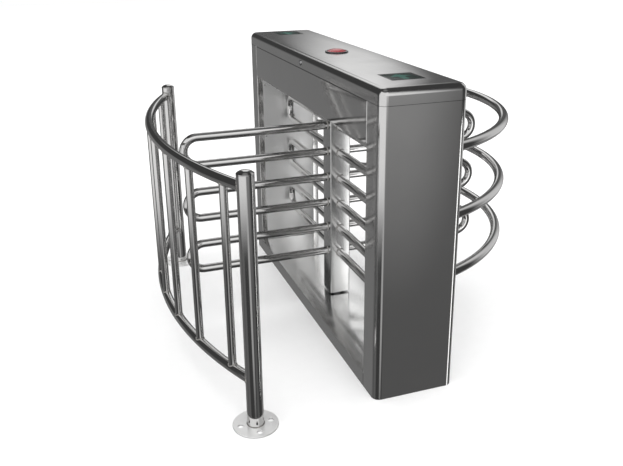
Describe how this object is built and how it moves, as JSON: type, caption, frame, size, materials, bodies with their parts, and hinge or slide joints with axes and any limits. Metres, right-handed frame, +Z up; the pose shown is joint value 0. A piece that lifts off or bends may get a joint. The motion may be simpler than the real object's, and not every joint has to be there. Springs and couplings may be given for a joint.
{
  "type": "visitor counter turnstile",
  "caption": "Half-height rotary turnstile that counts visitors: a stainless portal cabinet, a rotor of bent-tube wings, closing hoops and a curved lane railing.",
  "frame": {"origin": "the rotor axis where it meets the floor, at the centre of the cabinet's base", "axes": "+Z up along the rotor axis; Y along the cabinet, with -Y the entry end; -X the lane side with the railing, +X the closed side with the hoops"},
  "size_m": [1.2963, 1.454, 1.012],
  "materials": {
    "cabinet_steel": "polished stainless sheet",
    "lid_steel": "satin stainless sheet",
    "mirror_steel": "mirror polished stainless sheet",
    "tube_steel": "polished stainless tube",
    "column_steel": "satin stainless box section",
    "structure_steel": "zinc plated steel",
    "machined_steel": "turned and ground steel",
    "bearing_steel": "ground bearing steel",
    "bearing_iron": "cast housing",
    "bush_bronze": "sintered bronze",
    "motor_paint": "black enamel",
    "solenoid_paint": "grey enamel over a wound coil",
    "sensor_plastic": "moulded black",
    "board_green": "solder-masked circuit board",
    "supply_case": "folded aluminium",
    "screw_steel": "stainless screws",
    "indicator_glass": "black acrylic with a green lit arrow",
    "lamp_black": "moulded black",
    "lamp_red": "red translucent lens",
    "lock_chrome": "plated lock"
  },
  "bodies": {
    "cabinet": {"base_tray": "cabinet_steel", "threshold_plate": "mirror_steel", "front_pillar_shell": "cabinet_steel", "rear_pillar_shell": "cabinet_steel", "front_pillar_cover": "mirror_steel", "rear_pillar_cover": "mirror_steel", "cover_screws": "screw_steel", "left_header_panel": "cabinet_steel", "right_header_panel": "cabinet_steel", "header_soffit": "mirror_steel", "header_beam": "structure_steel", "header_fasteners": "screw_steel", "top_bearing_housing": "bearing_iron", "top_bearing_outer_ring": "bearing_steel", "top_bearing_balls": "bearing_steel", "foot_bearing_housing": "bearing_iron", "foot_bush": "bush_bronze", "gearmotor": "motor_paint", "pawl_solenoids": "solenoid_paint", "pawl_pivot_pins": "machined_steel", "pawl_return_springs": "machined_steel", "position_sensor": "sensor_plastic", "control_board": "board_green", "power_supply": "supply_case", "hoop_top": "tube_steel", "hoop_middle": "tube_steel", "hoop_bottom": "tube_steel", "front_railing_post": "tube_steel", "rear_railing_post": "tube_steel", "railing_post_caps": "tube_steel", "railing_post_flanges": "lid_steel", "railing_top_rail": "tube_steel", "railing_bottom_rail": "tube_steel", "railing_balusters": "tube_steel", "lid_hinge_fixed_halves": "machined_steel"},
    "rotor": {"rotor_column": "column_steel", "rotor_shaft": "machined_steel", "rotor_foot_pivot": "machined_steel", "right_wing_loops": "tube_steel", "rear_wing_loops": "tube_steel", "left_wing_loops": "tube_steel", "front_wing_loops": "tube_steel", "top_bearing_inner_ring": "bearing_steel", "lock_disc": "machined_steel", "main_gear": "machined_steel", "sensor_disc": "supply_case", "shaft_collar": "machined_steel"},
    "pinion": {"motor_pinion": "machined_steel"},
    "entry_pawl_arm": {"entry_pawl": "machined_steel"},
    "exit_pawl_arm": {"exit_pawl": "machined_steel"},
    "entry_plunger_rod": {"entry_plunger": "machined_steel"},
    "exit_plunger_rod": {"exit_plunger": "machined_steel"},
    "lid_assembly": {"lid": "lid_steel", "lid_hinge_moving_leaves": "machined_steel", "front_indicator_panel": "indicator_glass", "rear_indicator_panel": "indicator_glass", "lamp_housing": "lamp_black", "lamp_lens": "lamp_red", "lid_lock": "lock_chrome"},
    "lock_cam": {"lid_lock_cam": "lock_chrome"}
  },
  "joints": [
    {"name": "rotor_spin", "type": "hinge", "parent": "cabinet", "child": "rotor", "pos_m": [0, 0, 0], "axis": [0, 0, 1], "continuous": true},
    {"name": "pinion_spin", "type": "hinge", "parent": "cabinet", "child": "pinion", "pos_m": [-0.07071, 0.07071, 0.89], "axis": [0, 0, 1], "continuous": true},
    {"name": "entry_pawl_swing", "type": "hinge", "parent": "cabinet", "child": "entry_pawl_arm", "pos_m": [-0.055, -0.105, 0.87], "axis": [0, 0, 1], "range_deg": [0, 8], "stiffness_Nm_per_rad": 0.3},
    {"name": "exit_pawl_swing", "type": "hinge", "parent": "cabinet", "child": "exit_pawl_arm", "pos_m": [0.055, 0.105, 0.87], "axis": [0, 0, 1], "range_deg": [0, 8], "stiffness_Nm_per_rad": 0.3},
    {"name": "entry_plunger_slide", "type": "slide", "parent": "cabinet", "child": "entry_plunger_rod", "axis": [1, 0, 0], "range_m": [0, 0.0056]},
    {"name": "exit_plunger_slide", "type": "slide", "parent": "cabinet", "child": "exit_plunger_rod", "axis": [-1, 0, 0], "range_m": [0, 0.0056]},
    {"name": "lid_open", "type": "hinge", "parent": "cabinet", "child": "lid_assembly", "pos_m": [0.1465, 0, 0.95], "axis": [0, 1, 0], "range_deg": [0, 95]},
    {"name": "lid_lock_turn", "type": "hinge", "parent": "lid_assembly", "child": "lock_cam", "pos_m": [-0.1187, 0, 0.97], "axis": [-1, 0, 0], "range_deg": [0, 90]}
  ],
  "couplings": [
    {"joint": "pinion_spin", "follows": "rotor_spin", "ratio": -4},
    {"joint": "entry_plunger_slide", "follows": "entry_pawl_swing", "m_per_rad": 0.04},
    {"joint": "exit_plunger_slide", "follows": "exit_pawl_swing", "m_per_rad": 0.04}
  ]
}
